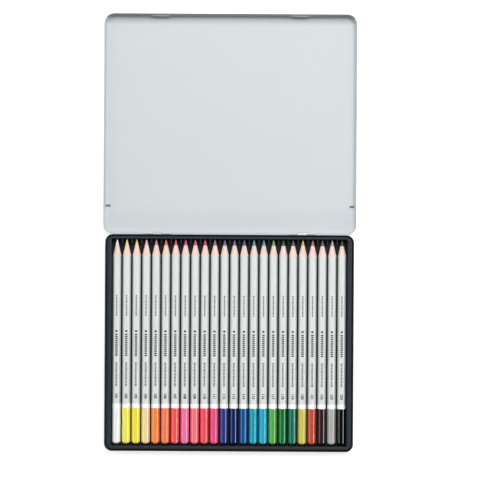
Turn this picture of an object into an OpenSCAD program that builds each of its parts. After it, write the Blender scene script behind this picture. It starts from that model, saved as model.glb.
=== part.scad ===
// Hinged sheet-metal tin that holds one row of hexagonal colored pencils in a moulded tray.
// It stands open: the lid is turned back through half a turn and lies flat behind the base.
// X runs across the row of pencils, Y from the base to the lid, Z up from the table.

/* [Pencils] */
// How many pencils lie side by side
pencil_count = 24; // [6:1:26]
// Length of a pencil, from its dipped end to its point
pencil_len = 175; // [120:1:200]
// Width of the hexagonal body across its flats
pencil_af = 6.6; // [6:0.1:7.4]
// Width of the body over its rounded corners
pencil_corner_w = 7.3; // [7:0.1:8.2]
// Clear space between the corners of two neighbouring pencils
pencil_space = 1.07; // [0.8:0.01:2]
// Diameter of the colored core
lead_d = 3; // [2:0.1:4]
// Diameter of the blunt end of the point
point_d = 0.8; // [0.4:0.1:1.2]
// Angle between the sharpened cone and the pencil's axis
cone_angle = 13; // [9:0.5:16]
// Length of the dipped end
dip_len = 31; // [15:1:45]
// Width of the ring painted next to the dipped end
ring_w = 3.6; // [1:0.1:8]
// Height of the crown on the dipped end
crown_h = 2; // [0.6:0.1:2.2]
// Solid wood and dip behind the core
core_stop = 2.5; // [2:0.1:6]
// Glue line round the core
glue_line = 0.01; // [0.01:0.01:0.05]

/* [Tray] */
// Wall of the moulded tray
tray_t = 0.6; // [0.4:0.05:1]
// Width of the ledge at each side of the row
ledge_side = 4; // [2:0.05:10]
// Width of the ledge behind the dipped ends
ledge_front = 3.2; // [2:0.1:10]
// Width of the ledge beyond the points
ledge_rear = 2.4; // [2:0.1:10]
// Depth of the lip turned down round the ledge
lip_h = 2.2; // [1.5:0.1:3]
// Space between the outer pencils and the side walls of the well
side_gap = 1.05; // [0.3:0.05:2]
// Space behind the dipped ends
end_gap = 1.05; // [0.4:0.05:4]
// Space beyond the points
point_gap = 0.75; // [0.4:0.05:4]
// Space between a pencil and the groove that it lies in
groove_fit = 0.15; // [0.1:0.01:0.4]
// How far the ridges between the grooves stay below the pencils' axes
ridge_drop = 0.5; // [0.2:0.1:1.5]
// Length of the deep recess under the points
recess_len = 13.7; // [8:0.1:20]
// Width of a comb tooth between two points
tooth_w = 1; // [0.6:0.1:1.6]
// Length of a comb tooth
tooth_len = 4; // [2:0.1:6]
// How far the comb teeth stand above the pencils' axes
tooth_rise = 0.8; // [0:0.1:2]
// How far the pencils' upper flats lie below the ledge
pencil_drop = 0.4; // [0:0.1:2]
// Height of the groove floors above the floor of the tin
groove_lift = 4.55; // [3.9:0.05:8]

/* [Base] */
// Thickness of the tinplate
sheet_t = 0.3; // [0.2:0.02:0.4]
// Corner radius over the rolled rim
base_r = 6.5; // [5:0.1:12]
// Rounding between the floor and the walls
floor_r = 2.5; // [1:0.1:3]
// Diameter of the rim, rolled outwards
rim_d = 1.1; // [0.9:0.05:1.6]
// How far the tray's ledge lies below the rim
ledge_drop = 0.9; // [0.3:0.1:2]
// Space between the tray and the walls
tray_fit = 0.3; // [0.1:0.05:0.6]
// Space under the tray's lowest face
tray_seat = 0.1; // [0.05:0.05:0.3]

/* [Lid] */
// Space between the rim of the base and the closed lid
head_room = 1.8; // [1:0.1:4]
// Diameter of the lid's edge, rolled inwards
curl_d = 1.7; // [1.2:0.05:2]
// Space between the rim of the base and the rolled edge round it
lid_gap = 0.4; // [0.2:0.05:0.6]
// Rounding between the panel and the walls
lid_round = 5; // [3:0.1:5.4]
// Distance from the back of the lid to the slits where the rolled edge ends
slit_back = 25.3; // [15:0.1:50]
// Width of a slit
slit_w = 1; // [0.5:0.1:3]
// How far a slit reaches in from the side of the lid, through the wall and its bend
slit_in = 4.9; // [2:0.1:4.9]
// Distance between the two places where the front's rolled edge is pressed inwards to snap
snap_apart = 120; // [60:1:160]
// Length of a pressed place
snap_len = 17; // [8:0.1:24]
// Height of a pressed place
snap_h = 0.6; // [0.4:0.05:0.7]
// Space left between a pressed place and the wall of the closed base
snap_gap = 0.2; // [0.1:0.05:0.4]

/* [Hinges] */
// Distance between the two hinges
hinge_apart = 124; // [60:1:150]
// Length of the middle knuckle, which belongs to the base
base_knuckle = 8; // [4:0.5:14]
// Length of each outer knuckle, which belongs to the lid
lid_knuckle = 7; // [4:0.5:14]
// Space between two knuckles
knuckle_gap = 0.3; // [0.2:0.05:0.6]
// Running clearance round the pin
pin_fit = 0.05; // [0.02:0.01:0.1]
// Space between the rim of the base and the back of the opened lid
open_gap = 0.15; // [0.1:0.05:0.4]
// Space between the base's knuckle and the notch in the lid
notch_gap = 0.4; // [0.3:0.05:0.8]
// Height of the hinge leaf on the base's back wall, below the knuckle
leaf_h = 4.5; // [2:0.1:5]

/* [Hidden] */
$fn = 48;
bend_steps = 6;
curl_steps = 12;
// How far round the sheet is rolled: round a hinge pin, at the base's rim and at the lid's edge
roll_turn = 290;
rim_turn = 285;
curl_turn = 280;
// How far a cutting shape reaches past what it cuts
over = 0.3;

// The row of pencils
pitch = pencil_corner_w + pencil_space;
row_w = (pencil_count - 1) * pitch + pencil_corner_w;
point_r = point_d / 2;
lead_r = lead_d / 2;
lead_cone_len = (lead_r - point_r) / tan(cone_angle);
cone_len = (pencil_corner_w / 2 - point_r) / tan(cone_angle);

// The tin round the tray, and the tray round the row
well_w = row_w + 2 * side_gap;
well_d = end_gap + pencil_len + point_gap;
tray_w = well_w + 2 * ledge_side;
tray_d = well_d + ledge_front + ledge_rear;
tray_r = base_r - rim_d - tray_fit;
tin_w = tray_w + 2 * (tray_fit + rim_d);
tin_d = tray_d + 2 * (tray_fit + rim_d);

// Heights above the table
groove_z = sheet_t + groove_lift;
pencil_z = groove_z + groove_fit + pencil_af / 2;
ridge_z = pencil_z - ridge_drop;
ledge_z = pencil_z + pencil_af / 2 + pencil_drop;
rim_h = ledge_z + ledge_drop;
tin_h = rim_h + head_room + sheet_t;
tray_z = sheet_t + tray_seat;

// The lid passes round the rim, and its edge meets the hinge line when it lies flat
lid_over = lid_gap + curl_d;
lid_w = tin_w + 2 * lid_over;
lid_d = tin_d + 2 * lid_over;
lid_r = base_r + lid_over;
lid_depth = tin_h / 2;
knuckle_r = (lid_over - open_gap) / 2;
bore_r = knuckle_r - sheet_t;
pin_r = bore_r - pin_fit;
hinge_len = base_knuckle + 2 * (knuckle_gap + lid_knuckle);
hinge_z = tin_h / 2;
hinge_back = tin_d / 2 + lid_over - knuckle_r;

// The origin is under the middle of the whole open tin
base_y = -(2 * hinge_back + lid_d / 2 - tin_d / 2) / 2;
hinge_y = base_y + hinge_back;
lid_y = hinge_y + hinge_back;
front_y = lid_y + lid_d / 2;
well_front = base_y - tin_d / 2 + rim_d + tray_fit + ledge_front;
well_rear = well_front + well_d;
pencil_back = well_front + end_gap;

// A pressed place bulges from the rolled edge in an arc
snap_depth = lid_gap + rim_d - sheet_t - snap_gap;
snap_r = (pow(snap_len / 2, 2) + pow(snap_depth, 2)) / (2 * snap_depth);

tin_color = "#d3d9dc";
black_color = "#15171a";
tray_color = "#3c4249";
pin_color = "#9a9da0";
wood_color = "#f7dfc9";
silver_color = "#dfe1e3";
ring_color = "#fafafa";
dip_colors = [
    "#fafcfa", "#faf264", "#fdeb50", "#fddea5", "#fd9650", "#ff825f", "#ff5a55", "#fa73af",
    "#f57382", "#fa5569", "#f05091", "#1e2878", "#001e5f", "#0055a0", "#14a5b4", "#37aad2",
    "#5fb450", "#057832", "#007d5a", "#e1cd69", "#dc5546", "#3c232d", "#b4b9b2", "#050a0f",
];
lead_colors = [
    "#f4f2ec", "#ffe678", "#ffd75a", "#fab4b4", "#c86e78", "#dc5a5a", "#c83250", "#be3c78",
    "#e6326e", "#dc1e5a", "#965078", "#5a468c", "#463c82", "#3c3c64", "#328296", "#288c8c",
    "#509650", "#1e5a3c", "#5a5a55", "#c8b45a", "#aa505a", "#50323c", "#a09ba5", "#1c1a1e",
];

function two(i) = i < 10 ? str("0", i) : str(i);
function casing_name(i) = str("pencil_", two(i), "_casing");
function lead_name(i) = str("pencil_", two(i), "_lead");

function reversed(list) = [for (i = [len(list) - 1:-1:0]) list[i]];
function arc(centre, r, from, to, steps) =
    [for (k = [0:steps]) let (a = from + (to - from) * k / steps) centre + r * [cos(a), sin(a)]];
function pencil_x(i) = (i - (pencil_count + 1) / 2) * pitch;

// Sheet-metal sections, drawn outwards from the centre of a corner, with the floor at the bottom
module base_section() {
    wall_in = base_r - rim_d;
    wall_out = wall_in + sheet_t;
    bend = [wall_out - floor_r, floor_r];
    roll = [wall_in + rim_d / 2, rim_h - rim_d / 2];
    inside = concat(
        [[0, sheet_t]],
        arc(bend, floor_r - sheet_t, -90, 0, bend_steps),
        arc(roll, rim_d / 2, 180, 180 - rim_turn, curl_steps)
    );
    outside = concat(
        [[0, 0]],
        arc(bend, floor_r, -90, 0, bend_steps),
        arc(roll, rim_d / 2 - sheet_t, 180, 180 - rim_turn, curl_steps)
    );
    polygon(concat(inside, reversed(outside)));
}

// The lid's section rises from its panel round the bend, and ends in the top it is given
lid_roll = [lid_r - curl_d / 2, lid_depth - curl_d / 2];
curl_outside = concat([[lid_r, lid_round]], arc(lid_roll, curl_d / 2, 0, curl_turn, curl_steps));
curl_inside = concat(
    [[lid_r - sheet_t, lid_round]],
    arc(lid_roll, curl_d / 2 - sheet_t, 0, curl_turn, curl_steps)
);

module lid_section(outside, inside) {
    bend = [lid_r - lid_round, lid_round];
    polygon(concat(
        [[0, 0]],
        arc(bend, lid_round, -90, 0, bend_steps),
        outside,
        reversed(inside),
        arc(bend, lid_round - sheet_t, 0, -90, bend_steps),
        [[0, sheet_t]]
    ));
}

module lid_curled() lid_section(curl_outside, curl_inside);
module lid_plain() lid_section([[lid_r, lid_depth]], [[lid_r - sheet_t, lid_depth]]);

// One quarter turn of a section round a corner of a box: 0 is right rear, then counter-clockwise
module corner(quarter, w, d, r) {
    sx = quarter == 0 || quarter == 3 ? 1 : -1;
    sy = quarter < 2 ? 1 : -1;
    translate([sx * (w / 2 - r), sy * (d / 2 - r), 0])
        rotate(90 * quarter) rotate_extrude(angle = 90) children();
}

// A straight run of a section along one side of a box: 0 is right, then counter-clockwise
module side(quarter, reach, from, to) {
    rotate(90 * quarter) translate([reach, to, 0])
        rotate([90, 0, 0]) linear_extrude(to - from) children();
}

// A strip of sheet rolled back round the hinge pin, from the angle where it leaves its wall
module knuckle(x, length, from) {
    core_t = sheet_t / 2;
    core_in = (sheet_t - core_t) / 2;
    translate([x, hinge_y, hinge_z]) rotate([90, 0, 90]) rotate(from) {
        rotate_extrude(angle = -roll_turn)
            translate([bore_r, -length / 2]) square([sheet_t, length]);
        // The middle of the sheet runs on from the roll into the wall
        translate([bore_r + core_in, -core_in, core_in - length / 2])
            cube([core_t, over + core_in, length - 2 * core_in]);
    }
}

// The flat of a box's floor, lapped a little over the runs round it
module panel(half_w, half_d) {
    translate([-half_w - over, -half_d - over, 0])
        cube([2 * (half_w + over), 2 * (half_d + over), sheet_t]);
}

module base_tin() {
    half_w = tin_w / 2 - base_r;
    half_d = tin_d / 2 - base_r;
    leaf_y = base_y + tin_d / 2 - rim_d + sheet_t / 2;
    color(black_color) {
        translate([0, base_y, 0]) {
            for (q = [0:3]) corner(q, tin_w, tin_d, base_r) base_section();
            for (q = [0, 2]) side(q, half_w, -half_d, half_d) base_section();
            for (q = [1, 3]) side(q, half_d, -half_w, half_w) base_section();
            panel(half_w, half_d);
        }
        for (x = [-hinge_apart / 2, hinge_apart / 2]) {
            knuckle(x, base_knuckle, 90);
            translate([x - base_knuckle / 2, leaf_y, hinge_z + bore_r])
                cube([base_knuckle, hinge_y - leaf_y, sheet_t]);
            translate([x - base_knuckle / 2, leaf_y, hinge_z + bore_r - leaf_h])
                cube([base_knuckle, 1.5 * sheet_t, leaf_h]);
        }
    }
}

// The front's rolled edge pressed flat and inwards, rooted in the sheet of the roll
module snap_bulge(x) {
    root = 0.6 * sheet_t;
    translate([x, front_y - curl_d - snap_depth + snap_r, lid_depth - curl_d / 2 - snap_h / 2])
        linear_extrude(snap_h) intersection() {
            circle(r = snap_r, $fn = 240);
            translate([-snap_len, -snap_r - over])
                square([2 * snap_len, over + snap_depth + root]);
        }
}

module lid_shell() {
    half_w = lid_w / 2 - lid_r;
    half_d = lid_d / 2 - lid_r;
    slit_y = slit_back - slit_w - lid_d / 2;
    translate([0, lid_y, 0]) {
        panel(half_w, half_d);
        for (q = [0, 1]) corner(q, lid_w, lid_d, lid_r) lid_curled();
        for (q = [2, 3]) corner(q, lid_w, lid_d, lid_r) lid_plain();
        side(0, half_w, slit_y, half_d) lid_curled();
        side(0, half_w, -half_d, slit_y) lid_plain();
        side(1, half_d, -half_w, half_w) lid_curled();
        side(2, half_w, -half_d, -slit_y) lid_curled();
        side(2, half_w, -slit_y, half_d) lid_plain();
        side(3, half_d, -half_w, half_w) lid_plain();
    }
    for (s = [-1, 1]) snap_bulge(s * snap_apart / 2);
}

module lid() {
    rear_y = lid_y - lid_d / 2;
    notch_w = base_knuckle + 2 * knuckle_gap;
    notch_h = knuckle_r + notch_gap;
    color(tin_color) {
        difference() {
            lid_shell();
            for (s = [-1, 1]) {
                translate([s * (lid_w / 2 - slit_in / 2 + over / 2), rear_y + slit_back - slit_w / 2, 0])
                    cube([slit_in + over, slit_w, 2 * (lid_round + over)], center = true);
                translate([s * hinge_apart / 2 - notch_w / 2, rear_y - over, lid_depth - notch_h])
                    cube([notch_w, sheet_t + 2 * over, notch_h + over]);
            }
        }
        for (s = [-1, 1], e = [-1, 1]) {
            shift = e * (base_knuckle + lid_knuckle + 2 * knuckle_gap) / 2;
            knuckle(s * hinge_apart / 2 + shift, lid_knuckle, 180);
        }
    }
}

module hinge_pin(x) {
    color(pin_color) translate([x, hinge_y, hinge_z]) rotate([0, 90, 0])
        cylinder(r = pin_r, h = hinge_len, center = true);
}

// Outline of a box with round corners, in straight steps
function round_box(w, d, r) = concat(
    arc([w / 2 - r, d / 2 - r], r, 0, 90, bend_steps),
    arc([r - w / 2, d / 2 - r], r, 90, 180, bend_steps),
    arc([r - w / 2, r - d / 2], r, 180, 270, bend_steps),
    arc([w / 2 - r, r - d / 2], r, 270, 360, bend_steps)
);

// The grooves follow the lower half of the hexagons, at the groove fit
groove_floor = (pencil_af / 2 + groove_fit) * tan(30);
groove_edge = groove_floor + (ridge_z - groove_z) * tan(30);
under_edge = min(groove_edge + tray_t * tan(30), pitch / 2 - tray_t / 8);
under_floor = min(groove_floor + tray_t * tan(30), under_edge);

// The groove floor, bulkhead and recess floor run half-way into the walls of the well
lap = tray_t / 2;
floor_half_w = well_w / 2 + lap;

function groove_line(floor_half, edge_half, floor_z, edge_z) = concat(
    [[-floor_half_w, edge_z]],
    [for (i = [1:pencil_count], c = [[-edge_half, edge_z], [-floor_half, floor_z],
                                     [floor_half, floor_z], [edge_half, edge_z]])
        [pencil_x(i) + c[0], c[1]]],
    [[floor_half_w, edge_z]]
);

module groove_section() {
    top = groove_line(groove_floor, groove_edge, groove_z, ridge_z);
    under = groove_line(under_floor, under_edge, groove_z - tray_t, ridge_z - tray_t);
    polygon(concat(top, reversed(under)));
}

module bulkhead_section() {
    top = groove_line(groove_floor, groove_edge, groove_z, ridge_z);
    polygon(concat(top, [[floor_half_w, tray_z], [-floor_half_w, tray_z]]));
}

module pencil_tray() {
    recess_y = well_rear - recess_len;
    tooth_h = pencil_z + tooth_rise - tray_z;
    color(tray_color) {
        translate([0, base_y, 0]) {
            difference() {
                translate([0, 0, ledge_z - lip_h])
                    linear_extrude(lip_h) polygon(round_box(tray_w, tray_d, tray_r));
                translate([0, 0, ledge_z - lip_h - tray_t]) linear_extrude(lip_h)
                    polygon(round_box(tray_w - 2 * tray_t, tray_d - 2 * tray_t, tray_r - tray_t));
                translate([-well_w / 2, well_front - base_y, 0])
                    cube([well_w, well_d, ledge_z + over]);
            }
        }
        translate([-well_w / 2 - tray_t, well_front - tray_t, tray_z]) difference() {
            cube([well_w + 2 * tray_t, well_d + 2 * tray_t, ledge_z - tray_z]);
            translate([tray_t, tray_t, -over]) cube([well_w, well_d, ledge_z + 2 * over]);
        }
        translate([0, recess_y - lap, 0]) rotate([90, 0, 0])
            linear_extrude(recess_y - well_front) groove_section();
        translate([0, recess_y, 0]) rotate([90, 0, 0]) linear_extrude(tray_t) bulkhead_section();
        translate([-floor_half_w, recess_y - lap, tray_z])
            cube([2 * floor_half_w, recess_len + 2 * lap, tray_t]);
        for (i = [1:pencil_count - 1])
            translate([pencil_x(i) + pitch / 2 - tooth_w / 2, well_rear - tooth_len, tray_z])
                cube([tooth_w, tooth_len + lap, tooth_h]);
    }
}

// A pencil drawn along Z from its dipped end, laid down along Y by lay()
module lay(i) {
    translate([pencil_x(i), pencil_back, pencil_z]) rotate([-90, 0, 0]) children();
}

module hexagon_section() {
    intersection() {
        circle(d = pencil_af / cos(30), $fn = 6);
        circle(d = pencil_corner_w);
    }
}

// The round outline that a crowned end and a sharpened cone cut from the hexagonal rod
module turned_envelope() {
    reach = pencil_corner_w / 2 + over;
    crown_r = (pow(pencil_corner_w / 2, 2) + pow(crown_h, 2)) / (2 * crown_h);
    crown_turn = asin(reach / crown_r);
    rotate_extrude() polygon(concat(
        arc([0, crown_r], crown_r, -90, crown_turn - 90, bend_steps),
        [[reach, crown_r - crown_r * cos(crown_turn)],
         [reach, pencil_len - (reach - point_r) / tan(cone_angle)],
         [lead_r, pencil_len - lead_cone_len],
         [0, pencil_len - lead_cone_len]]
    ));
}

module casing_slice(from, to) {
    difference() {
        intersection() {
            turned_envelope();
            translate([0, 0, from]) linear_extrude(to - from) hexagon_section();
        }
        translate([0, 0, core_stop]) cylinder(r = lead_r + glue_line, h = pencil_len);
    }
}

module pencil_casing(i) {
    wood_from = pencil_len - cone_len;
    dip = dip_colors[(i - 1) % len(dip_colors)];
    lay(i) {
        color(dip) casing_slice(0, dip_len);
        color(ring_color) casing_slice(dip_len, dip_len + ring_w);
        color(silver_color) casing_slice(dip_len + ring_w, wood_from);
        color(wood_color) casing_slice(wood_from, pencil_len);
    }
}

module pencil_lead(i) {
    color(lead_colors[(i - 1) % len(lead_colors)]) lay(i) rotate_extrude() polygon([
        [0, core_stop + glue_line], [lead_r, core_stop + glue_line],
        [lead_r, pencil_len - lead_cone_len], [point_r, pencil_len], [0, pencil_len],
    ]);
}

base_tin();
lid();
pencil_tray();
hinge_pin(-hinge_apart / 2);  // hinge_pin_left
hinge_pin(hinge_apart / 2);  // hinge_pin_right
for (i = [1:pencil_count]) {
    pencil_casing(i);
    pencil_lead(i);
}
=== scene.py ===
import math

import bmesh
import bpy
from mathutils import Matrix, Vector


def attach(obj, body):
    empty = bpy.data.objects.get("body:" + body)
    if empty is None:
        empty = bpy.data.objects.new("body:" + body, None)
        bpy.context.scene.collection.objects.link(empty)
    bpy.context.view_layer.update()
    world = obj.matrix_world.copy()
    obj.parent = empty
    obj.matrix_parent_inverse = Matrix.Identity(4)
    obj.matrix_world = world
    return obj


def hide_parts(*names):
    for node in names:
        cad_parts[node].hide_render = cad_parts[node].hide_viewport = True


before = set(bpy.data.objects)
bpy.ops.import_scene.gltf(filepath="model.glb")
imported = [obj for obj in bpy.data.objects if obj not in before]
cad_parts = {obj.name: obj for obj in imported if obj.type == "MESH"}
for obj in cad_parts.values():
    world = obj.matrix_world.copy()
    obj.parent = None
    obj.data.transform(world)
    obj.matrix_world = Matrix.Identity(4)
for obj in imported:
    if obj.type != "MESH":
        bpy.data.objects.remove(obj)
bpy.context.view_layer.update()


# Base of the tin: 0.3 mm tinplate, drawn in a press and lacquered black inside and out.
# Its rim is rolled outwards. It carries the hinge strips on its back wall and the tray on its floor.

MM = 0.001
BASE_W = 212.71
BASE_D = 185.2
BASE_Y = -94.775
BASE_R = 6.5
FLOOR_R = 2.5
RIM = 1.1
RIM_Z = 12.9
ROLL_END = -105
SHEET = 0.3
PANEL_EDGE = 0.8
CORNER_STEPS = 14
BEND_STEPS = 8
ROLL_STEPS = 22
SHARP = 38


def arc(centre, radius, start, end, steps):
    """Points along part of a circle, from one angle to another in degrees."""
    turns = [math.radians(start + (end - start) * k / steps) for k in range(steps + 1)]
    return [(centre[0] + radius * math.cos(t), centre[1] + radius * math.sin(t)) for t in turns]


def stations_round(width, depth, radius, centre_y, steps=CORNER_STEPS):
    """Stations round a box: the centre of the corner each one turns about, and its direction out."""
    stations = []
    for corner in range(4):
        x = (1 if corner in (0, 3) else -1) * (width / 2 - radius)
        y = centre_y + (1 if corner < 2 else -1) * (depth / 2 - radius)
        for k in range(steps + 1):
            turn = math.radians(90 * (corner + k / steps))
            stations.append((x, y, math.cos(turn), math.sin(turn)))
    return stations


def loops_round(stations, section):
    """One loop of points for each point of a section, given as its reach out and its height."""
    return [[(x + out * to_x, y + out * to_y, z) for x, y, to_x, to_y in stations] for out, z in section]


def pressed_sheet(outside, inside, is_cut=None, closed=True, panel=True):
    """A sheet between two skins, which are lists of loops, without the cells that are cut out of it."""
    shape = bmesh.new()
    rows = len(outside)
    count = len(outside[0])
    cells = count if closed else count - 1
    corners = {}

    def corner(skin, row, station):
        key = (skin, row, station % count)
        if key not in corners:
            point = (outside, inside)[skin][row][station % count]
            corners[key] = shape.verts.new(Vector(point) * MM)
        return corners[key]

    def stays(row, station):
        if not 0 <= row < rows - 1:
            return False
        if closed:
            station %= cells
        elif not 0 <= station < cells:
            return False
        return not (is_cut and is_cut(row, station))

    for row in range(rows - 1):
        for station in range(cells):
            if not stays(row, station):
                continue
            cell = [(row, station), (row, station + 1), (row + 1, station + 1), (row + 1, station)]
            shape.faces.new([corner(0, r, s) for r, s in cell])
            shape.faces.new([corner(1, r, s) for r, s in reversed(cell)])
            beside = [(row - 1, station), (row, station + 1), (row + 1, station), (row, station - 1)]
            for side, (r, s) in enumerate(beside):
                if stays(r, s) or (panel and side == 0 and row == 0):
                    continue
                first = cell[side]
                second = cell[(side + 1) % 4]
                edge = [corner(1, *first), corner(1, *second), corner(0, *second), corner(0, *first)]
                shape.faces.new(edge)
    if panel:
        for skin in (0, 1):
            shape.faces.new([corner(skin, 0, s) for s in range(count)])
    return shape


def made_piece(name, shape, materials):
    """The object for a shape, with its faces turned outwards and shaded smoothly."""
    bmesh.ops.recalc_face_normals(shape, faces=shape.faces)
    mesh = bpy.data.meshes.new(name)
    shape.to_mesh(mesh)
    shape.free()
    for material in materials:
        mesh.materials.append(material)
    mesh.shade_smooth()
    mesh.set_sharp_from_angle(angle=math.radians(SHARP))
    piece = bpy.data.objects.new(name, mesh)
    bpy.context.scene.collection.objects.link(piece)
    return piece


class Signal:
    """A socket in a finish. Sums, differences and products of signals add their Math nodes."""

    def __init__(self, finish, socket):
        self.finish = finish
        self.socket = socket

    def with_other(self, operation, first, second):
        return self.finish.node("Math", {"operation": operation}, {0: first, 1: second})

    def __add__(self, other):
        return self.with_other("ADD", self, other)

    def __radd__(self, other):
        return self.with_other("ADD", other, self)

    def __sub__(self, other):
        return self.with_other("SUBTRACT", self, other)

    def __rsub__(self, other):
        return self.with_other("SUBTRACT", other, self)

    def __mul__(self, other):
        return self.with_other("MULTIPLY", self, other)

    def __rmul__(self, other):
        return self.with_other("MULTIPLY", other, self)


class Finish:
    """The node tree of a material or of the room."""

    def __init__(self, tree):
        self.tree = tree
        tree.nodes.clear()

    def node(self, kind, settings, sockets, out=0):
        """Adds a node, with its settings made first, and gives one of its outputs."""
        made = self.tree.nodes.new("ShaderNode" + kind)
        for name, value in settings.items():
            setattr(made, name, value)
        for name, value in sockets.items():
            if isinstance(value, Signal):
                self.tree.links.new(value.socket, made.inputs[name])
            else:
                made.inputs[name].default_value = value
        return Signal(self, made.outputs[out]) if made.outputs else None

    def place(self):
        """Where a point of the piece is, in metres."""
        return self.node("TexCoord", {}, {}, "Object")

    def axis(self, place, name):
        """One coordinate of a place."""
        return self.node("SeparateXYZ", {}, {0: place}, name)

    def unsigned(self, signal):
        """A signal without its sign."""
        return self.node("Math", {"operation": "ABSOLUTE"}, {0: signal})

    def stretched(self, place, x, y, z):
        """The place with each direction scaled."""
        return self.node("VectorMath", {"operation": "MULTIPLY"}, {0: place, 1: (x, y, z)})

    def noise(self, place, size, detail=3, roughness=0.5):
        """Cloudy noise from 0 to 1, whose blotches are about size millimetres across."""
        sockets = {"Vector": place, "Scale": 1000 / size, "Detail": detail, "Roughness": roughness}
        return self.node("TexNoise", {}, sockets, 0)

    def spread(self, signal, low, high, to_low=0, to_high=1):
        """Spreads the part of a signal between two values over another range, and cuts off the rest."""
        sockets = {0: signal, 1: low, 2: high, 3: to_low, 4: to_high}
        return self.node("MapRange", {"interpolation_type": "SMOOTHSTEP"}, sockets)

    def reached(self, distance, low, high, to_low=0, to_high=1):
        """Spreads a distance in metres, with the two values that it lies between in millimetres."""
        return self.spread(distance, low * MM, high * MM, to_low, to_high)

    def mixed(self, factor, first, second):
        """One color turning into another as the factor goes from 0 to 1."""
        return self.node("Mix", {"data_type": "RGBA"}, {0: factor, 6: first, 7: second}, 2)

    def shade(self, signal, color, amount):
        """A color made darker and lighter round its own value, where the signal is 0 to 1."""
        low = [max(0, c * (1 - amount)) for c in color[:3]] + [1]
        high = [min(1, c * (1 + amount)) for c in color[:3]] + [1]
        return self.mixed(signal, low, high)

    def relief(self, height, depth, strength=1.0):
        """The tilt of a surface whose height signal, 0 to 1, stands for a depth in millimetres."""
        return self.node("Bump", {}, {"Height": height, "Strength": strength, "Distance": depth * MM})


def finish_for(name, build):
    """A material whose surface shader is what build returns."""
    material = bpy.data.materials.new(name)
    material.use_nodes = True
    finish = Finish(material.node_tree)
    finish.node("OutputMaterial", {}, {"Surface": build(finish)})
    return material


def paint(red, green, blue):
    """A color written in screen values of 0 to 255, as the shader's linear color."""
    shades = []
    for value in (red, green, blue):
        part = value / 255
        shades.append(part / 12.92 if part <= 0.04045 else ((part + 0.055) / 1.055) ** 2.4)
    return (*shades, 1)


def black_lacquer(finish):
    """Baked black lacquer: a little orange peel, faint scuffs, and bare specks along the rolled rim."""
    place = finish.place()
    peel = finish.noise(place, 0.9, 2)
    cloud = finish.noise(place, 22, 3)
    scuff = finish.noise(finish.stretched(place, 0.25, 2.2, 1), 0.7, 4, 0.65)
    scuff = finish.spread(scuff, 0.6, 0.78)
    edge = finish.reached(finish.axis(place, "Z"), RIM_Z - 0.2, RIM_Z - 0.02)
    chips = finish.spread(finish.noise(place, 0.8, 5, 0.7), 0.66, 0.72)
    worn = edge * chips * 0.8
    color = finish.shade(cloud, paint(11, 12, 14), 0.25)
    color = finish.mixed(worn, color, paint(120, 122, 124))
    rough = 0.3 + cloud * 0.12 + scuff * 0.14
    return finish.node("BsdfPrincipled", {}, {
        "Base Color": color,
        "Roughness": rough,
        "Specular IOR Level": 0.25,
        "Metallic": worn,
        "Normal": finish.relief(peel, 0.012, 0.35),
    })


black = finish_for("black_lacquer", black_lacquer)

round_base = stations_round(BASE_W, BASE_D, BASE_R, BASE_Y)
base_wall = BASE_R - RIM
bend = (base_wall + SHEET - FLOOR_R, FLOOR_R)
roll = (base_wall + RIM / 2, RIM_Z - RIM / 2)
outer_skin = [(PANEL_EDGE, 0)] + arc(bend, FLOOR_R, -90, 0, BEND_STEPS)
outer_skin += arc(roll, RIM / 2 - SHEET, 180, ROLL_END, ROLL_STEPS)
inner_skin = [(PANEL_EDGE, SHEET)] + arc(bend, FLOOR_R - SHEET, -90, 0, BEND_STEPS)
inner_skin += arc(roll, RIM / 2, 180, ROLL_END, ROLL_STEPS)
base = pressed_sheet(loops_round(round_base, outer_skin), loops_round(round_base, inner_skin))

base_tin = made_piece("tin_base", base, [black])
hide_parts("base_tin")
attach(base_tin, "base")


# Hinge strips: bright tinplate 0.3 mm thick, one for each hinge. A leaf of it is welded to the
# base's back wall, and its end is rolled into the middle knuckle that holds the pin.

HINGE_X = 62
HINGE_Y = -1.05
HINGE_Z = 7.5
KNUCKLE_R = 0.975
BORE_R = 0.675
STRIP_T = 0.3
STRIP_HALF = 4
LEAF_LEN = 4.5
LEAF_R = 1.4
KNUCKLE_END = -200


def bright_tinplate(finish):
    """Bare tinned sheet: cloudy soft gloss with fine rolling lines."""
    place = finish.place()
    rolled = finish.noise(finish.stretched(place, 0.08, 1, 1), 0.1, 3)
    cloud = finish.noise(place, 2.5, 3)
    return finish.node("BsdfPrincipled", {}, {
        "Base Color": finish.shade(cloud, paint(196, 198, 200), 0.06),
        "Roughness": 0.34 + rolled * 0.14,
        "Metallic": 0.6,
        "Normal": finish.relief(rolled, 0.004, 0.3),
    })


tinplate = finish_for("bright_tinplate", bright_tinplate)
wall_face = BASE_Y + BASE_D / 2 - RIM + SHEET
strip_bend = (wall_face + 2 * STRIP_T, HINGE_Z + BORE_R - STRIP_T)
leaf_low = HINGE_Z + BORE_R - LEAF_LEN
under = [(wall_face + STRIP_T, leaf_low)] + arc(strip_bend, STRIP_T, 180, 90, 5)
under += arc((HINGE_Y, HINGE_Z), BORE_R, 90, KNUCKLE_END, 30)
over = [(wall_face, leaf_low)] + arc(strip_bend, 2 * STRIP_T, 180, 90, 5)
over += arc((HINGE_Y, HINGE_Z), KNUCKLE_R, 90, KNUCKLE_END, 30)
round_end = [STRIP_HALF - step for step in (0, 0.1, 0.4, 0.8, LEAF_R)]
across = [-x for x in round_end] + [0] + round_end[::-1]
rounding = []
for x in across:
    into_round = max(0, abs(x) - STRIP_HALF + LEAF_R)
    rounding.append(LEAF_R - math.sqrt(max(0, LEAF_R**2 - into_round**2)))
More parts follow.
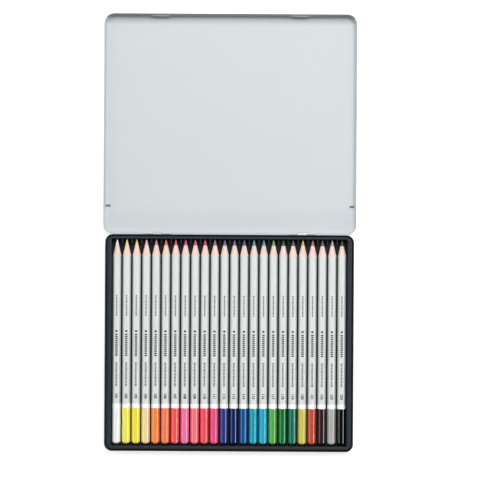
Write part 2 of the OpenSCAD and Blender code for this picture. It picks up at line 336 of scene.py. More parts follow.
for side, name in ((-1, "hinge_strip_left"), (1, "hinge_strip_right")):
    skins = []
    for section in (over, under):
        loops = []
        for row, (y, z) in enumerate(section):
            lift = rounding if row == 0 else [0] * len(across)
            loops.append([(side * HINGE_X + x, y, z + up) for x, up in zip(across, lift)])
        skins.append(loops)
    strip = made_piece(name, pressed_sheet(skins[0], skins[1], closed=False, panel=False), [tinplate])
    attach(strip, "base")


# Hinge pins: straight steel wire, cut to length, pushed through the knuckles of base and lid.
# The base's knuckle holds each pin, and the lid's knuckles turn on it.

def drawn_wire(finish):
    """Bright drawn steel with fine lines along the wire."""
    place = finish.place()
    lines = finish.noise(finish.stretched(place, 0.05, 1, 1), 0.06, 3)
    return finish.node("BsdfPrincipled", {}, {
        "Base Color": finish.shade(lines, paint(170, 172, 175), 0.15),
        "Roughness": 0.25 + lines * 0.2,
        "Metallic": 1.0,
        "Normal": finish.relief(lines, 0.004, 0.4),
    })


wire = finish_for("hinge_wire", drawn_wire)
for name in ("hinge_pin_left", "hinge_pin_right"):
    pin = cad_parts[name]
    pin.data.materials.clear()
    pin.data.materials.append(wire)


# Lid: 0.3 mm tinplate, drawn in a press and enamelled silver grey. Its edge is rolled inwards as
# far as a slit in each side, and is pressed flat at two places in front, which snap over the base.
# Its back wall is plain, notched for the base's knuckles and rolled into the hinges' knuckles.

LID_W = 216.91
LID_D = 189.4
LID_Y = 92.675
LID_R = 8.6
LID_DEPTH = 7.5
LID_BEND = 5.0
EDGE_IN = 1.7
EDGE_FOLD = 0.3
EDGE_NOSE = 0.35
EDGE_SLOPE = 155
NOSE_END = 330
FLARE = 0.3
FLARE_LEN = 4
HEM_OUT = 0.35
HEM_UP = 0.6
SQUARE = 0.99
SLIT = 24.4
SLIT_GAP = 0.16
SLIT_LIP = 0.7
SLIT_IN = 4.9
LIP_SUNK = 0.5
SNAP_X = 60
SNAP_LEN = 17
SNAP_DEPTH = 1.0
SHELF_FROM = 0.5
SHELF_TO = 0.65
NOTCH_X = 4.3
NOTCH_DEPTH = 1.375
LID_KNUCKLE = 7.0
LID_KNUCKLE_END = 290
EDGE_LOW = 4.5
EDGE_HIGH = 5.5
# How strongly painted shade darkens the rolled edge (front, sides) and the panel (front, back).
EDGE_SHADE_FRONT = 0.7
EDGE_SHADE_SIDE = 0.22
PANEL_SHADE_FRONT = 0.4
PANEL_SHADE_REAR = 0.16


def between(low, high, steps):
    """Evenly spaced values from low to high, both included."""
    return [low + (high - low) * k / steps for k in range(steps + 1)]


def lid_stations():
    """Stations round the lid, closer together at the snaps, slits, notches and knuckles."""
    half_w = LID_W / 2 - LID_R
    half_d = LID_D / 2 - LID_R
    slit = []
    for step in (SLIT_GAP / 2, 0.2, 0.35, 0.55, SLIT_LIP, 1.2, 2, 3.2, 4.5):
        slit += [SLIT - step - LID_D / 2, SLIT + step - LID_D / 2]
    snaps = []
    for middle in (-SNAP_X, SNAP_X):
        snaps += between(middle - SNAP_LEN / 2, middle + SNAP_LEN / 2, 24)
    hinges = []
    for middle in (-HINGE_X, HINGE_X):
        for reach in (NOTCH_X, NOTCH_X + 0.35, NOTCH_X + LID_KNUCKLE - 0.35, NOTCH_X + LID_KNUCKLE):
            hinges += [middle - reach, middle + reach]
    sides = [
        [(half_w, y, 1, 0) for y in sorted(slit)],
        [(x, half_d, 0, 1) for x in sorted(snaps, reverse=True)],
        [(-half_w, y, -1, 0) for y in sorted(slit, reverse=True)],
        [(x, -half_d, 0, -1) for x in sorted(hinges)],
    ]
    stations = []
    for quarter, side in enumerate(sides):
        stations += side
        x = (1 if quarter in (0, 3) else -1) * half_w
        y = (1 if quarter < 2 else -1) * half_d
        for k in range(CORNER_STEPS + 1):
            turn = math.radians(90 * (quarter + k / CORNER_STEPS))
            stations.append((x, y, math.cos(turn), math.sin(turn)))
    return [(x, y + LID_Y, to_x, to_y) for x, y, to_x, to_y in stations]


def eased(value):
    """Smooth step from 0 to 1."""
    value = min(1, max(0, value))
    return value * value * (3 - 2 * value)


def snap(x):
    """How far the front's rolled edge is pressed in at x, as a part of the full depth."""
    away = abs(abs(x) - SNAP_X) / (SNAP_LEN / 2)
    return math.sqrt(max(0, 1 - away**4))


lid_ring = lid_stations()
slit_y = LID_Y - LID_D / 2 + SLIT
slit_turn = math.degrees(math.asin((LID_BEND - SLIT_IN) / LID_BEND))
bend_turns = [0] + between(slit_turn, 90, CORNER_STEPS)
SLIT_ROW = 2
WALL_ROW = len(bend_turns) + 3
EDGE_STEPS = 25


def rolled_edge(offset, pressed, flare):
    """The edge folded over at the top of the wall, sloping inwards and rolled under at its nose."""
    pressed_in = SNAP_DEPTH * pressed
    turn = math.radians(EDGE_SLOPE)
    start = LID_R - EDGE_FOLD * (1 - math.cos(turn))
    start_z = LID_DEPTH - EDGE_FOLD * (1 - math.sin(turn))
    nose = LID_R - EDGE_IN - FLARE * flare + EDGE_NOSE
    end = nose + EDGE_NOSE * math.cos(turn)
    end_z = start_z + (end - start) / math.tan(math.pi - turn)
    nose_z = end_z - EDGE_NOSE * math.sin(turn)
    fold = max(0.02, EDGE_FOLD - offset)
    centre = (LID_R - EDGE_FOLD, LID_DEPTH - EDGE_FOLD)
    line = arc(centre, fold, 0, 90, 5)[1:] + arc(centre, fold, 90, EDGE_SLOPE, 4)
    under = arc((nose - pressed_in, nose_z), max(0.05, EDGE_NOSE - offset), EDGE_SLOPE, NOSE_END, 11)
    first = line[-1]
    slope = (under[0][0] + pressed_in - first[0], under[0][1] - first[1])
    for part, shelf in ((SHELF_FROM, 0), (SHELF_TO, pressed_in)):
        line.append((first[0] + part * slope[0] - shelf, first[1] + part * slope[1]))
    line += under
    hem = (line[-1][0] + HEM_OUT, line[-1][1] + HEM_UP)
    return line + [hem]


def lid_skin(offset):
    """The loops of one skin of the lid; offset is 0 outside and the sheet's thickness inside."""
    rows = [[] for _ in range(WALL_ROW + EDGE_STEPS + 1)]
    for x, y, to_x, to_y in lid_ring:
        at_side = abs(to_x) > SQUARE
        curled = y > slit_y
        flare = 1 - eased((y - slit_y) / FLARE_LEN) if curled and at_side else 0
        lip = 1 - eased(abs(y - slit_y) / SLIT_LIP) if at_side else 0
        pressed = snap(x) if to_y > SQUARE else 0
        top = LID_DEPTH - EDGE_FOLD if curled else LID_DEPTH
        notched = top - NOTCH_DEPTH if to_y < -SQUARE else top - 0.6
        section = [(PANEL_EDGE, offset)]
        for turn in bend_turns:
            tilt = math.radians(turn)
            sunk = LID_BEND - offset + LIP_SUNK * lip * math.sin(2 * tilt) ** 2
            section.append((LID_R - LID_BEND + sunk * math.sin(tilt), LID_BEND - sunk * math.cos(tilt)))
        for z in (LID_BEND + 0.4, notched, top):
            section.append((LID_R - offset, z))
        if curled:
            section += rolled_edge(offset, pressed, flare)
        else:
            centre = (LID_R - KNUCKLE_R, LID_DEPTH)
            section += arc(centre, KNUCKLE_R - offset, 0, LID_KNUCKLE_END, EDGE_STEPS)[1:]
        for row, (out, z) in enumerate(section):
            rows[row].append((x + out * to_x, y + out * to_y, z))
    return rows


def lid_cut(row, station):
    """The cells of the lid's sheet that the press has cut away."""
    here = lid_ring[station]
    after = lid_ring[(station + 1) % len(lid_ring)]
    y = (here[1] + after[1]) / 2
    x = (here[0] + after[0]) / 2
    at_side = abs(here[2]) > SQUARE and abs(after[2]) > SQUARE
    at_back = here[3] < -SQUARE and after[3] < -SQUARE
    away = abs(abs(x) - HINGE_X)
    if at_side and abs(y - slit_y) < SLIT_GAP / 2:
        return row >= SLIT_ROW
    if y > slit_y:
        return False
    if at_back and away < NOTCH_X:
        return row >= WALL_ROW - 1
    if at_back and away < NOTCH_X + LID_KNUCKLE:
        return False
    return row >= WALL_ROW


def silver_enamel(finish):
    """Silver-grey enamel with fine flake, rolled on flat before the press. A painted shadow darkens
    the bend beside each slit, painted shade darkens the rolled edge, most at the front, and the
    panel is painted darker towards the front and the back."""
    place = finish.place()
    flake = finish.noise(place, 0.25, 2, 0.6)
    cloud = finish.noise(place, 45, 3)
    rub = finish.noise(finish.stretched(place, 1.6, 0.2, 1), 1.1, 4, 0.6)
    rub = finish.spread(rub, 0.58, 0.8)
    y = finish.axis(place, "Y")
    height = finish.axis(place, "Z")
    side_in = LID_W / 2 * MM - finish.unsigned(finish.axis(place, "X"))
    front_in = (LID_Y + LID_D / 2) * MM - y
    rear_in = LID_D * MM - front_in
    # Painted shadow: the bend beside each slit is painted nearly black, in place of the shaded floor seen
    # through the slit.
    slit_shadow = finish.reached(finish.unsigned(y - slit_y * MM), 0.6, 1, 1, 0)
    slit_shadow = slit_shadow * finish.reached(side_in, 1.3, 1.8) * finish.reached(side_in, SLIT_IN, 6, 1, 0)
    # Painted shade: the rolled edge at the top of the wall is painted darker, strongly along the front and
    # faintly along the sides.
    edge_shade = finish.reached(front_in, 3.5, 4, 1, 0) * EDGE_SHADE_FRONT
    edge_shade = edge_shade + finish.reached(side_in, 2.8, 3.3, 1, 0) * EDGE_SHADE_SIDE
    edge_shade = edge_shade * finish.reached(height, EDGE_LOW, EDGE_HIGH)
    # Painted shade: the panel and bends are painted darker within 9.5 mm of the front, under the rolled
    # edge, and a little darker towards the back.
    panel_shade = finish.reached(front_in, 3.5, 9.5, PANEL_SHADE_FRONT, 0) + finish.reached(rear_in, 1, 30, PANEL_SHADE_REAR, 0)
    panel_shade = panel_shade * finish.reached(height, EDGE_LOW, EDGE_HIGH, 1, 0)
    color = finish.shade(flake * 0.5 + cloud * 0.5, paint(213, 218, 221), 0.035)
    color = finish.mixed(edge_shade + panel_shade, color, paint(124, 128, 130))
    return finish.node("BsdfPrincipled", {}, {
        "Base Color": finish.mixed(slit_shadow * 0.95, color, paint(32, 36, 38)),
        "Roughness": 0.46 + cloud * 0.08 + rub * 0.08,
        "Specular IOR Level": 0.1,
        "Normal": finish.relief(flake, 0.006, 0.25),
    })


silver = finish_for("silver_enamel", silver_enamel)
lid = made_piece("tin_lid", pressed_sheet(lid_skin(0), lid_skin(SHEET), lid_cut), [silver])
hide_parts("lid")
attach(lid, "lid")


# Tray: grey polystyrene, moulded 0.6 mm thick in one piece, loose in the base.
# A ledge runs round its well. Hexagonal grooves hold the pencils, and their points hang free
# over a deep recess with a comb of short teeth.

TRAY_W = 209.91
TRAY_D = 182.4
TRAY_R = 5.1
TRAY_T = 0.6
TRAY_ROUND = 0.8
LEDGE_Z = 12.0
LIP = 2.2
WELL_R = 0.9
WELL_ROUND = 0.6
WELL_UNDER = 0.3
WELL_W = 201.91
WELL_FRONT = -182.775
WELL_REAR = -5.975
WELL_Y = (WELL_FRONT + WELL_REAR) / 2
WELL_D = WELL_REAR - WELL_FRONT
TRAY_LOW = 0.4
RECESS_Y = -19.675
STEP_ROUND = 0.5
GROOVE_Z = 4.85
RIDGE_Z = 7.8
GROOVE_FLOOR = 1.992
GROOVE_EDGE = 3.695
RIDGE_ROUND = 0.45
TOOTH_W = 1.0
TOOTH_D = 4
TOOTH_ROUND = 0.4
PITCH = 8.37
PENCILS = 24
PENCIL_Z = 8.3


def merged(shape, other):
    """Adds one shape to another."""
    spare = bpy.data.meshes.new("spare")
    other.to_mesh(spare)
    other.free()
    shape.from_mesh(spare)
    bpy.data.meshes.remove(spare)


def pencil_x(number):
    """The middle of a pencil and of its groove; the pencils are numbered from the left."""
    return (number - (PENCILS + 1) / 2) * PITCH


def rounded_line(points, radius, steps=3):
    """A line of straight stretches with each of its inner corners rounded off."""
    line = [points[0]]
    for before, here, after in zip(points, points[1:], points[2:]):
        back = Vector(before) - Vector(here)
        ahead = Vector(after) - Vector(here)
        reach = min(radius, back.length * 0.45, ahead.length * 0.45)
        start = Vector(here) + back.normalized() * reach
        end = Vector(here) + ahead.normalized() * reach
        for k in range(steps + 1):
            t = k / steps
            bent = start * (1 - t) ** 2 + Vector(here) * 2 * t * (1 - t) + end * t**2
            line.append(tuple(bent))
    return line + [points[-1]]


def groove_line(floor_half, edge_half, floor_z, edge_z):
    """The row of grooves in section, rounded along the ridges and in the corners."""
    points = [(-WELL_W / 2 - TRAY_T / 2, edge_z)]
    for number in range(1, PENCILS + 1):
        middle = pencil_x(number)
        points += [(middle - edge_half, edge_z), (middle - floor_half, floor_z)]
        points += [(middle + floor_half, floor_z), (middle + edge_half, edge_z)]
    points.append((WELL_W / 2 + TRAY_T / 2, edge_z))
    return rounded_line(points, RIDGE_ROUND)


def moulded_grey(finish):
    """Slate-grey moulded plastic: a fine spark-eroded grain, with slow changes of gloss. It is painted
    much darker low in the well and grooves as shade, and lighter on the comb's teeth as light.
    """
    place = finish.place()
    grain = finish.noise(place, 0.22, 3, 0.6)
    flow = finish.noise(finish.stretched(place, 1, 0.3, 1), 18, 3)
    dust = finish.spread(finish.noise(place, 0.5, 4, 0.7), 0.68, 0.78)
    height = finish.axis(place, "Z")
    # Painted light: the comb's teeth take the ledge's lighter grey.
    comb = finish.reached(finish.axis(place, "Y"), WELL_REAR - TOOTH_D - 0.6, WELL_REAR - TOOTH_D - 0.1)
    comb = comb * finish.reached(height, 4, 6)
    ledge_and_teeth = 1 - (1 - comb) * (1 - finish.reached(height, 8.5, 11.2))
    # Painted shade: below the ledge the grey turns much darker, low in the well and the grooves.
    grooves = finish.shade(flow, paint(14, 17, 21), 0.1)
    color = finish.mixed(ledge_and_teeth, grooves, finish.shade(flow, paint(31, 39, 46), 0.1))
    color = finish.mixed(dust * 0.12, color, paint(150, 152, 155))
    return finish.node("BsdfPrincipled", {}, {
        "Base Color": color,
        "Roughness": 0.46 + flow * 0.1 + grain * 0.06,
        "Specular IOR Level": 0.25,
        "Normal": finish.relief(grain, 0.02, 0.4),
    })


plastic = finish_for("moulded_grey", moulded_grey)


def tray_loop(width, depth, radius, centre_y, z):
    """A loop of points round the tray or round its well."""
    return loops_round(stations_round(width, depth, radius, centre_y, 10), [(radius, z)])[0]


lip_centre = (-TRAY_ROUND, LEDGE_Z - TRAY_ROUND)
lip_top = [(0, LEDGE_Z - LIP)] + arc(lip_centre, TRAY_ROUND, 0, 90, 6)
lip_under = [(-TRAY_T, LEDGE_Z - LIP)] + arc(lip_centre, TRAY_ROUND - TRAY_T, 0, 90, 6)
well_top = arc((WELL_ROUND, LEDGE_Z - WELL_ROUND), WELL_ROUND, 90, 180, 6) + [(0, TRAY_LOW)]
well_under = arc((TRAY_T + WELL_UNDER, LEDGE_Z - TRAY_T - WELL_UNDER), WELL_UNDER, 90, 180, 6)
well_under.append((TRAY_T, TRAY_LOW))
tray_skins = []
for lip_line, well_line in ((lip_under, well_under), (lip_top, well_top)):
    skin = []
    for out, z in lip_line:
        skin.append(tray_loop(TRAY_W + 2 * out, TRAY_D + 2 * out, TRAY_R + out, BASE_Y, z))
    for out, z in well_line:
        skin.append(tray_loop(WELL_W + 2 * out, WELL_D + 2 * out, WELL_R + out, WELL_Y, z))
    tray_skins.append(skin)
tray = pressed_sheet(tray_skins[0], tray_skins[1], panel=False)

top_line = groove_line(GROOVE_FLOOR, GROOVE_EDGE, GROOVE_Z, RIDGE_Z)
slant = TRAY_T * math.tan(math.radians(30))
under_edge = min(GROOVE_EDGE + slant, PITCH / 2 - TRAY_T / 8)
under_floor = min(GROOVE_FLOOR + slant, under_edge)
under_line = groove_line(under_floor, under_edge, GROOVE_Z - TRAY_T, RIDGE_Z - TRAY_T)
lap = TRAY_T / 2
floor_z = TRAY_LOW + TRAY_T
run = [(WELL_FRONT - lap, 0), (RECESS_Y - STEP_ROUND, 0)]
run += arc((RECESS_Y - STEP_ROUND, -STEP_ROUND), STEP_ROUND, 75, 0, 4)
drop = arc((RECESS_Y + STEP_ROUND, floor_z + STEP_ROUND), STEP_ROUND, 180, 270, 4)
drop.append((WELL_REAR + lap, floor_z))
bed_top = [[(x, y, z + step) for x, z in top_line] for y, step in run]
bed_top += [[(x, y, z) for x, _ in top_line] for y, z in drop]
run_under = [(WELL_FRONT - lap, 0)] + [(RECESS_Y - TRAY_T, 0)] * (len(run) - 1)
run_under = [(y - 0.01 * (len(run) - k), z) for k, (y, z) in enumerate(run_under)]
drop_under = [(RECESS_Y - TRAY_T + 0.01 * k, TRAY_LOW) for k in range(len(drop) - 1)]
drop_under.append((WELL_REAR + lap, TRAY_LOW))
bed_under = [[(x, y, z + step) for x, z in under_line] for y, step in run_under]
bed_under += [[(x, y, z) for x, _ in under_line] for y, z in drop_under]
merged(tray, pressed_sheet(bed_under, bed_top, closed=False, panel=False))


def comb_tooth(x):
    """A tooth of the comb, rounded along its top and down its front."""
    tooth = bmesh.new()
    low = TRAY_LOW + 0.1
    high = PENCIL_Z + 0.8
    front = WELL_REAR - TOOTH_D
    middle = Vector((x, (front + WELL_REAR + lap) / 2, (low + high) / 2)) * MM
    size = Vector((TOOTH_W, WELL_REAR + lap - front, high - low)) * MM
    bmesh.ops.create_cube(tooth, size=1, matrix=Matrix.LocRotScale(middle, None, size))
    top = [e for e in tooth.edges if all(v.co.z > middle.z for v in e.verts)]
    front_edges = [e for e in tooth.edges if all(v.co.y < middle.y for v in e.verts)]
    edges = list(set(top + front_edges))
    bmesh.ops.bevel(tooth, geom=edges, offset=TOOTH_ROUND * MM, segments=4, profile=0.5, affect="EDGES")
    return tooth


for number in range(1, PENCILS):
    merged(tray, comb_tooth(pencil_x(number) + PITCH / 2))

tray_piece = made_piece("tray", tray, [plastic])
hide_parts("pencil_tray")
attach(tray_piece, "tray")


# Pencils: hexagonal slats of light wood glued round a colored core, lacquered silver grey with a
# white ring, dipped at one end in the core's color and sharpened to a long cone at the other.
# Each carries plain numbers and rows of strokes stamped along its upper flat.

PENCIL_BACK = -181.725
PENCIL_LEN = 175
FLAT = 6.6
CORNER_R = 1.5
LEAD_R = 1.5
POINT_R = 0.4
DIP_LEN = 31
DIP_ROUND = 2.4
DIP_COAT = 0.05
RING_W = 3.6
RING_COAT = 0.02
SHOULDER = 0.3
CORE_STOP = 2.5
GLUE = 0.01
SLOPE = math.tan(math.radians(13))
INK_T = 0.024
INK_LIFT = 0.008
NUMBER_AT = 133.6
NUMBER_H = 2.3
FONT_SIZE = 1.38
FONT_SWELL = 0.13
COATS = ["dip", "ring", "silver", "wood", "ink"]
dip_colors = [
    (255, 255, 255), (255, 244, 96), (255, 238, 75), (255, 228, 171), (255, 146, 73), (255, 132, 88),
    (255, 92, 88), (250, 123, 175), (255, 122, 134), (253, 80, 97), (239, 81, 142), (36, 57, 136),
    (0, 34, 99), (0, 86, 158), (0, 166, 190), (25, 174, 211), (91, 178, 80), (0, 122, 48),
    (0, 118, 93), (218, 204, 92), (203, 78, 60), (49, 22, 27), (180, 185, 179), (0, 0, 0),
]
core_colors = [
    (252, 251, 248), (243, 224, 140), (243, 213, 117), (239, 186, 186), (201, 133, 140), (217, 117, 117),
    (201, 87, 110), (194, 94, 140), (224, 87, 133), (217, 72, 117), (163, 110, 140), (117, 102, 155),
    (102, 94, 148), (94, 94, 125), (87, 148, 163), (79, 155, 155), (110, 163, 110), (29, 86, 57),
    (86, 86, 81), (201, 186, 117), (178, 110, 117), (110, 87, 94), (171, 167, 175), (70, 69, 72),
]


def barrel(coat):
    """The pencil's section, a hexagon with round corners and a flat on top, under a coat of paint."""
    points = []
    reach = (FLAT / 2 - CORNER_R) / math.cos(math.radians(30))
    for side in range(6):
        middle = (reach * math.cos(math.radians(60 * side)), reach * math.sin(math.radians(60 * side)))
        corner = arc(middle, CORNER_R + coat, 60 * side - 30, 60 * side + 30, 5)
        if points:
            points += [tuple(Vector(points[-1]).lerp(Vector(corner[0]), k / 5)) for k in range(1, 5)]
        points += corner
    points += [tuple(Vector(points[-1]).lerp(Vector(points[0]), k / 5)) for k in range(1, 5)]
    return points


def pencil_ring(points, along, scale=1.0):
    """A ring of points round the pencil's axis, at one place along it or at one for each point."""
    if not isinstance(along, list):
        along = [along] * len(points)
    return [(x * scale, PENCIL_BACK + y, PENCIL_Z + z * scale) for (x, z), y in zip(points, along)]


def casing_rings():
    """The rings of a casing from the middle of its dipped end, and the coat on the band after each.
    A ring on each side of a shoulder keeps the long faces between the shoulders evenly lit."""
    dipped = barrel(DIP_COAT)
    ringed = barrel(RING_COAT)
    body = barrel(0)
    ring_end = DIP_LEN + RING_W
    reach = [math.hypot(x, z) for x, z in body]
    cut = [PENCIL_LEN - (r - POINT_R) / SLOPE for r in reach]
    bore = LEAD_R + GLUE
    rings = []
    for scale in (0.1, 0.3, 0.5, 0.68, 0.82, 0.92, 0.98, 1):
        rings.append((pencil_ring(dipped, DIP_ROUND * (1 - math.sqrt(1 - scale**2)), scale), "dip"))
    rings.append((pencil_ring(dipped, DIP_ROUND + SHOULDER), "dip"))
    rings.append((pencil_ring(dipped, DIP_LEN - SHOULDER), "dip"))
    rings.append((pencil_ring(dipped, DIP_LEN - 0.06), "dip"))
    rings.append((pencil_ring(ringed, DIP_LEN), "ring"))
    rings.append((pencil_ring(ringed, ring_end), "silver"))
    rings.append((pencil_ring(body, ring_end + 0.04), "silver"))
    rings.append((pencil_ring(body, ring_end + SHOULDER), "silver"))
    rings.append((pencil_ring(body, min(cut) - SHOULDER), "silver"))
    rings.append((pencil_ring(body, min(cut) - 0.02), "wood"))
    rings.append((pencil_ring(body, cut), "wood"))
    for part in (0.12, 0.3, 0.5, 0.75, 1):
        radii = [r + (bore - r) * part for r in reach]
        cone = [(x * now / r, z * now / r) for (x, z), r, now in zip(body, reach, radii)]
        rings.append((pencil_ring(cone, [PENCIL_LEN - (now - POINT_R) / SLOPE for now in radii]), "wood"))
    hole = [(x * bore / r, z * bore / r) for (x, z), r in zip(body, reach)]
    rings.append((pencil_ring(hole, CORE_STOP), "wood"))
    return rings


def turned_shape(rings, coats):
    """A closed shape through rings of points, with a material for the band after each ring."""
    shape = bmesh.new()
    made = [[shape.verts.new(Vector(point) * MM) for point in ring] for ring in rings]
    count = len(rings[0])
    for row in range(len(made) - 1):
        for k in range(count):
            after = (k + 1) % count
            face = shape.faces.new([made[row][k], made[row][after], made[row + 1][after], made[row + 1][k]])
            face.material_index = coats[row]
    shape.faces.new(made[0]).material_index = coats[0]
    shape.faces.new(made[-1]).material_index = coats[-1]
    return shape


def on_flat(along):
    """The place of some print on the upper flat, at a distance from the point."""
    return Vector((0, PENCIL_BACK + PENCIL_LEN - along, PENCIL_Z + FLAT / 2 + INK_LIFT)) * MM


def stamped_bar(shape, along, width, length):
    """One bar of the print, a film of ink."""
    size = Vector((width, length, INK_T)) * MM
    before = len(shape.faces)
    bmesh.ops.create_cube(shape, size=1, matrix=Matrix.LocRotScale(on_flat(along), None, size))
    shape.faces.ensure_lookup_table()
    for face in shape.faces[before:]:
        face.material_index = COATS.index("ink")


def stamped_number(shape, number):
    """A number stamped along the upper flat, read from the point towards the dipped end."""
    drawing = bpy.data.curves.new("number", "FONT")
    drawing.body = f"{number}"
    drawing.size = NUMBER_H * FONT_SIZE * MM
    drawing.align_x = "CENTER"
    drawing.align_y = "CENTER"
    drawing.extrude = INK_T / 2 * MM
    drawing.offset = FONT_SWELL * MM
    drawing.resolution_u = 3
    drawn = bpy.data.objects.new("number", drawing)
    bpy.context.scene.collection.objects.link(drawn)
    bpy.context.view_layer.update()
    flat = drawn.evaluated_get(bpy.context.evaluated_depsgraph_get()).to_mesh()
    digits = bmesh.new()
    digits.from_mesh(flat)
    bmesh.ops.remove_doubles(digits, verts=digits.verts, dist=1e-7)
    digits.transform(Matrix.Translation(on_flat(NUMBER_AT)) @ Matrix.Rotation(math.radians(-90), 4, "Z"))
    for face in digits.faces:
        face.material_index = COATS.index("ink")
    merged(shape, digits)
    bpy.data.objects.remove(drawn)
    bpy.data.curves.remove(drawing)


def print_strokes():
    """The strokes stamped on every pencil: each one's distance from the point, width and length."""
    strokes = []
    for first, pitch, count, width, wide, every, length in (
        (48.1, 1.21, 15, 1.05, 1.3, 4, 0.72),
        (78.3, 0, 1, 1.8, 1.8, 1, 1.6),
        (81.2, 1.78, 11, 2.1, 2.1, 1, 1.15),
        (105.5, 1.22, 17, 1.35, 1.7, 5, 0.72),
    ):
        for k in range(count):
            strokes.append((first + pitch * k, width if k % every else wide, length))
    return strokes


def dip_paint(color):
    """Thick gloss paint over the end, a little uneven from dipping."""
    def build(finish):
        place = finish.place()
        sag = finish.noise(finish.stretched(place, 1, 0.3, 1), 3, 2)
        fleck = finish.noise(place, 0.4, 3)
        return finish.node("BsdfPrincipled", {}, {
            "Base Color": finish.shade(sag * 0.7 + fleck * 0.3, color, 0.03),
            "Roughness": 0.16 + sag * 0.06,
            "Specular IOR Level": 0.45,
            "Coat Weight": 0.9,
            "Coat Roughness": 0.07,
            "Normal": finish.relief(sag, 0.03, 0.25),
        })
    return build


def silver_lacquer(finish):
    """Silver-grey lacquer with fine flake, drawn along the barrel in several coats, with painted
    shade darkening it down the flanks, where the neighbouring pencils shade them."""
    place = finish.place()
    flake = finish.noise(place, 0.15, 2, 0.6)
    drag = finish.noise(finish.stretched(place, 1, 0.06, 1), 0.5, 3)
    # Painted shade: the lacquer turns darker from the upper flat down to the pencil's middle.
    flank_shade = finish.reached(finish.axis(place, "Z"), PENCIL_Z - 0.3, PENCIL_Z + 3, 1, 0)
    color = finish.shade(flake * 0.5 + drag * 0.5, paint(227, 231, 230), 0.04)
    return finish.node("BsdfPrincipled", {}, {
        "Base Color": finish.mixed(flank_shade, color, paint(162, 166, 166)),
        "Roughness": 0.46 + drag * 0.1,
        "Specular IOR Level": 0.35,
        "Coat Weight": 0.5,
        "Coat Roughness": 0.12,
        "Normal": finish.relief(drag * 0.7 + flake * 0.3, 0.01, 0.3),
    })


def white_paint(finish):
    """The white ring: opaque paint with soft gloss."""
    place = finish.place()
    drag = finish.noise(finish.stretched(place, 1, 0.5, 1), 0.8, 3)
    return finish.node("BsdfPrincipled", {}, {
        "Base Color": finish.shade(drag, paint(249, 249, 249), 0.02),
        "Roughness": 0.28 + drag * 0.1,
        "Coat Weight": 0.3,
        "Coat Roughness": 0.15,
        "Normal": finish.relief(drag, 0.01, 0.3),
    })


def sharpened_wood(finish):
    """Light wood cut across its grain by a sharpener: long fibres, pores and fine rings of the blade."""
    place = finish.place()
    fibre = finish.noise(finish.stretched(place, 1, 0.07, 1), 0.35, 4, 0.65)
    pore = finish.spread(finish.noise(finish.stretched(place, 1, 0.12, 1), 0.2, 2), 0.64, 0.75)
    year = finish.noise(finish.stretched(place, 1, 0.12, 1), 1.6, 2)
    blade = finish.noise(finish.stretched(place, 0.1, 1, 0.1), 0.14, 2)
    color = finish.mixed(finish.spread(year, 0.35, 0.65), paint(244, 228, 220), paint(243, 212, 200))
    color = finish.mixed(finish.spread(fibre, 0.3, 0.8) * 0.5, color, paint(238, 195, 176))
    color = finish.mixed(pore * 0.5, color, paint(210, 153, 132))
    return finish.node("BsdfPrincipled", {}, {
        "Base Color": color,
        "Roughness": 0.62 + fibre * 0.15,
        "Normal": finish.relief(fibre * 0.6 + blade * 0.4, 0.05, 0.5),
    })


def stamp_ink(finish):
    """Dark grey foil ink, slightly broken where the stamp pressed less."""
    place = finish.place()
    thin = finish.noise(place, 0.3, 3, 0.6)
    return finish.node("BsdfPrincipled", {}, {
        "Base Color": finish.mixed(finish.spread(thin, 0.55, 0.8), paint(30, 33, 36), paint(96, 100, 104)),
        "Roughness": 0.4 + thin * 0.15,
    })


def pigment_core(color):
    """Waxy pigment turned to a point: matt, faintly ringed by the blade, with crumbs at the edges."""
    def build(finish):
        place = finish.place()
        crumb = finish.noise(place, 0.18, 4, 0.65)
        blade = finish.noise(finish.stretched(place, 0.1, 1, 0.1), 0.2, 2)
        return finish.node("BsdfPrincipled", {}, {
            "Base Color": finish.shade(crumb, color, 0.12),
            "Roughness": 0.5 + crumb * 0.2,
            "Normal": finish.relief(crumb * 0.5 + blade * 0.5, 0.04, 0.5),
        })
    return build


silver_coat = finish_for("silver_lacquer", silver_lacquer)
white_coat = finish_for("white_ring", white_paint)
wood = finish_for("sharpened_wood", sharpened_wood)
ink = finish_for("stamp_ink", stamp_ink)

rings = casing_rings()
coats = [COATS.index(coat) for _, coat in rings]
lead_section = [(LEAD_R, CORE_STOP + GLUE)]
for radius in (LEAD_R, 1.1, 0.75):
    lead_section.append((radius, PENCIL_LEN - (radius - POINT_R) / SLOPE))
for radius, short in ((POINT_R + 0.05, 0.22), (POINT_R - 0.02, 0.07), (POINT_R / 2, 0)):
    lead_section.append((radius, PENCIL_LEN - short))

for number in range(1, PENCILS + 1):
    x = pencil_x(number)
    name = f"pencil_{number:02d}"
    dip = finish_for(f"dip_{number:02d}", dip_paint(paint(*dip_colors[number - 1])))
    core = finish_for(f"core_{number:02d}", pigment_core(paint(*core_colors[number - 1])))

    shape = turned_shape([ring for ring, _ in rings], coats)
    for along, width, length in print_strokes():
        stamped_bar(shape, along, width, length)
    stamped_number(shape, 100 + number)
    bmesh.ops.translate(shape, verts=shape.verts, vec=(x * MM, 0, 0))
    casing = made_piece(f"{name}_barrel", shape, [dip, white_coat, silver_coat, wood, ink])
    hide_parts(f"{name}_casing")
    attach(casing, name)

    lead_rings = []
    for radius, along in lead_section:
        lead_rings.append(pencil_ring(arc((0, 0), radius, 0, 360, 40)[:-1], along))
    shape = turned_shape(lead_rings, [0] * len(lead_rings))
    bmesh.ops.translate(shape, verts=shape.verts, vec=(x * MM, 0, 0))
    lead = made_piece(f"{name}_core", shape, [core])
    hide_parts(f"{name}_lead")
    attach(lead, name)


# Studio: a white floor, a soft lamp high at the upper right, and a pale room that fills the shadows.
# Glossy paint mirrors its dim ceiling and a tall bright panel at each side. The camera looks down.

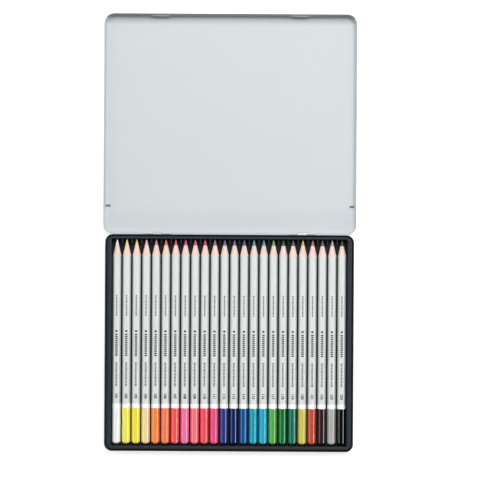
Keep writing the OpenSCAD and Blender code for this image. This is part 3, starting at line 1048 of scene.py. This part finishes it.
def lit_floor(finish):
    """White board: it takes the shadow, and its lit part is seen as plain white."""
    board = finish.node("BsdfDiffuse", {}, {"Color": (0.8, 0.8, 0.8, 1)})
    camera_ray = finish.node("LightPath", {}, {}, "Is Camera Ray")
    glossy_ray = finish.node("LightPath", {}, {}, "Is Glossy Ray")
    seen = finish.node("Math", {"operation": "MAXIMUM"}, {0: camera_ray, 1: glossy_ray})
    glow = finish.node("Emission", {}, {"Color": (1, 1, 1, 1), "Strength": seen * 0.62})
    return finish.node("AddShader", {}, {0: board, 1: glow})


floor_shape = bmesh.new()
bmesh.ops.create_grid(floor_shape, x_segments=1, y_segments=1, size=3)
floor = made_piece("floor", floor_shape, [finish_for("floor_white", lit_floor)])

world = bpy.data.worlds.new("room")
world.use_nodes = True
bpy.context.scene.world = world
room = Finish(world.node_tree)
toward = room.node("TexCoord", {}, {}, "Generated")
across = room.axis(toward, "X")
side = room.unsigned(across)
back = room.axis(toward, "Y")
camera_ray = room.node("LightPath", {}, {}, "Is Camera Ray")
glossy_ray = room.node("LightPath", {}, {}, "Is Glossy Ray")
fill = room.spread(side, 0.1, 0.35, 0.3, 1) * room.spread(across, -0.6, 0.6, 1.32, 0.875)
fill = fill * room.spread(back, -0.45, -0.02, 0.05, 1) * room.spread(back, 0.25, 0.75, 1, 0.25)
right_panel = room.spread(across, 0.45, 0.6) * room.spread(across, 0.9, 0.97, 6, 0)
left_panel = room.spread(across, -0.6, -0.45, 1, 0) * room.spread(across, -0.97, -0.9, 0, 1.8)
mirrored = room.spread(side, 0.2, 0.5, 0.05, 0.3) + right_panel + left_panel
lit = fill + glossy_ray * (mirrored - fill)
strength = camera_ray + (1 - camera_ray) * lit
sky = room.node("Background", {}, {"Color": (1, 1, 1, 1), "Strength": strength})
room.node("OutputWorld", {}, {"Surface": sky})

soft_box = bpy.data.lights.new("key_lamp", "AREA")
soft_box.shape = "RECTANGLE"
soft_box.size = 0.8
soft_box.size_y = 0.6
soft_box.energy = 13
key_lamp = bpy.data.objects.new("key_lamp", soft_box)
key_lamp.location = (0.25, 0.53, 1.33)
key_lamp.rotation_euler = (-key_lamp.location).to_track_quat("-Z", "Y").to_euler()
bpy.context.scene.collection.objects.link(key_lamp)

camera_data = bpy.data.cameras.new("camera")
camera_data.lens = 119.5
camera_data.sensor_width = 36
camera_data.clip_end = 20
camera = bpy.data.objects.new("camera", camera_data)
camera.location = (0.01743, -0.01515, 1.43)
camera.rotation_euler = (0, 0, math.radians(0.33))
bpy.context.scene.collection.objects.link(camera)
bpy.context.scene.camera = camera
bpy.context.scene.view_settings.view_transform = "Standard"
